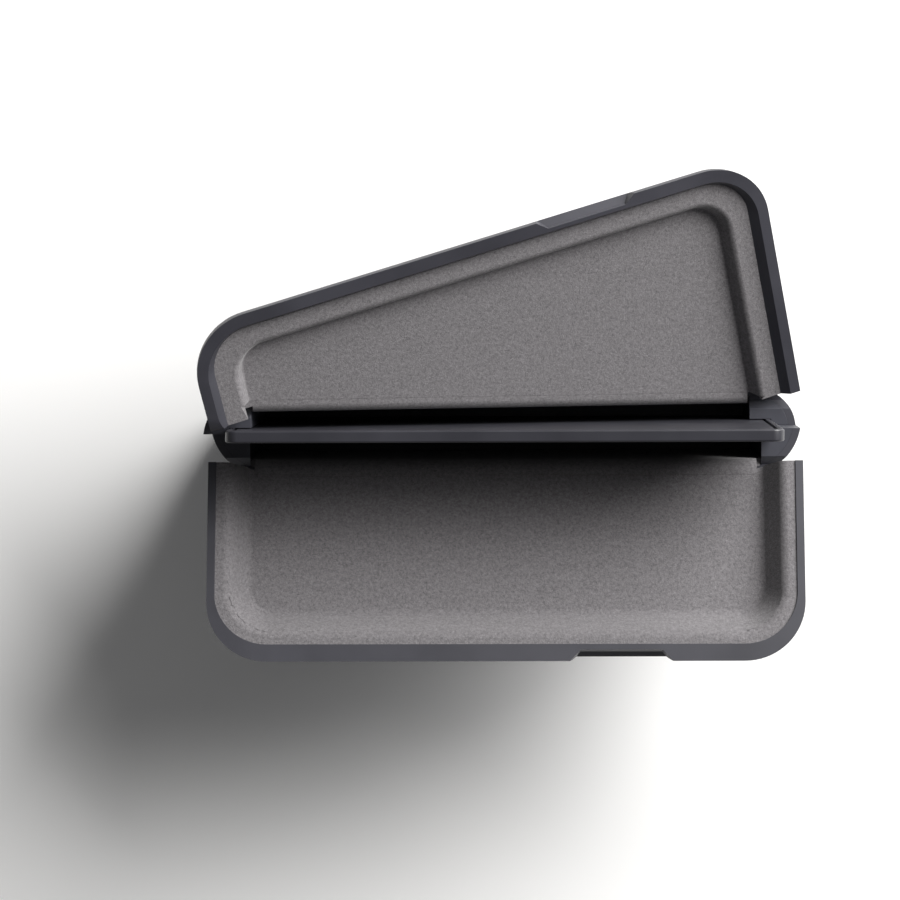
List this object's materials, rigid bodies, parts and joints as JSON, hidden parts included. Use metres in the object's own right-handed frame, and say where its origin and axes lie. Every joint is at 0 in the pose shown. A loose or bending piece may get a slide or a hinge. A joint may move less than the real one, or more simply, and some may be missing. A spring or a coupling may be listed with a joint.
{
  "type": "card case",
  "caption": "Slim hard-shell card case with a lined pocket on each face of a central divider and two hinged doors, one on a slanted hinge.",
  "frame": {"origin": "centre of the flat on the spine that the case stands on, on the divider's mid-plane", "axes": "+X along a card's long side, +Z from the spine towards the open front, +Y towards the door with the slanted hinge; doors stand open at rest"},
  "size_m": [0.1038, 0.0841, 0.062],
  "materials": {
    "shell": "fine matt texture, charcoal",
    "frame": "smooth matt, charcoal",
    "divider": "satin, dark charcoal",
    "lining": "short brushed cloth on moulded foam, warm grey",
    "hinge_strip": "matt flexible strip",
    "magnet": "nickel-plated bar magnet"
  },
  "bodies": {
    "case_body": {"divider_frame": "divider", "upper_body_shell": "shell", "lower_body_shell": "shell", "upper_pocket_frame": "frame", "lower_pocket_frame": "frame", "upper_pocket_lining": "lining", "lower_pocket_lining": "lining", "upper_divider_panel": "divider", "lower_divider_panel": "divider", "upper_hinge_web": "hinge_strip", "lower_hinge_web": "hinge_strip", "upper_hinge_fabric": "lining", "lower_hinge_fabric": "lining"},
    "upper_door": {"upper_door_shell": "shell", "upper_door_lining": "lining", "upper_magnet_left": "magnet", "upper_magnet_right": "magnet"},
    "lower_door": {"lower_door_shell": "shell", "lower_door_lining": "lining", "lower_magnet_left": "magnet", "lower_magnet_right": "magnet"}
  },
  "joints": [
    {"name": "upper_door_hinge", "type": "hinge", "parent": "case_body", "child": "upper_door", "pos_m": [0, 0.00475, 0.0358], "axis": [-0.9518, 0, 0.3068], "range_deg": [-68.8, 8], "deforming": ["upper_hinge_web", "upper_hinge_fabric"]},
    {"name": "lower_door_hinge", "type": "hinge", "parent": "case_body", "child": "lower_door", "pos_m": [0, -0.00675, 0.0339], "axis": [1, 0, 0], "range_deg": [-75.5, 8], "deforming": ["lower_hinge_web", "lower_hinge_fabric"]}
  ]
}
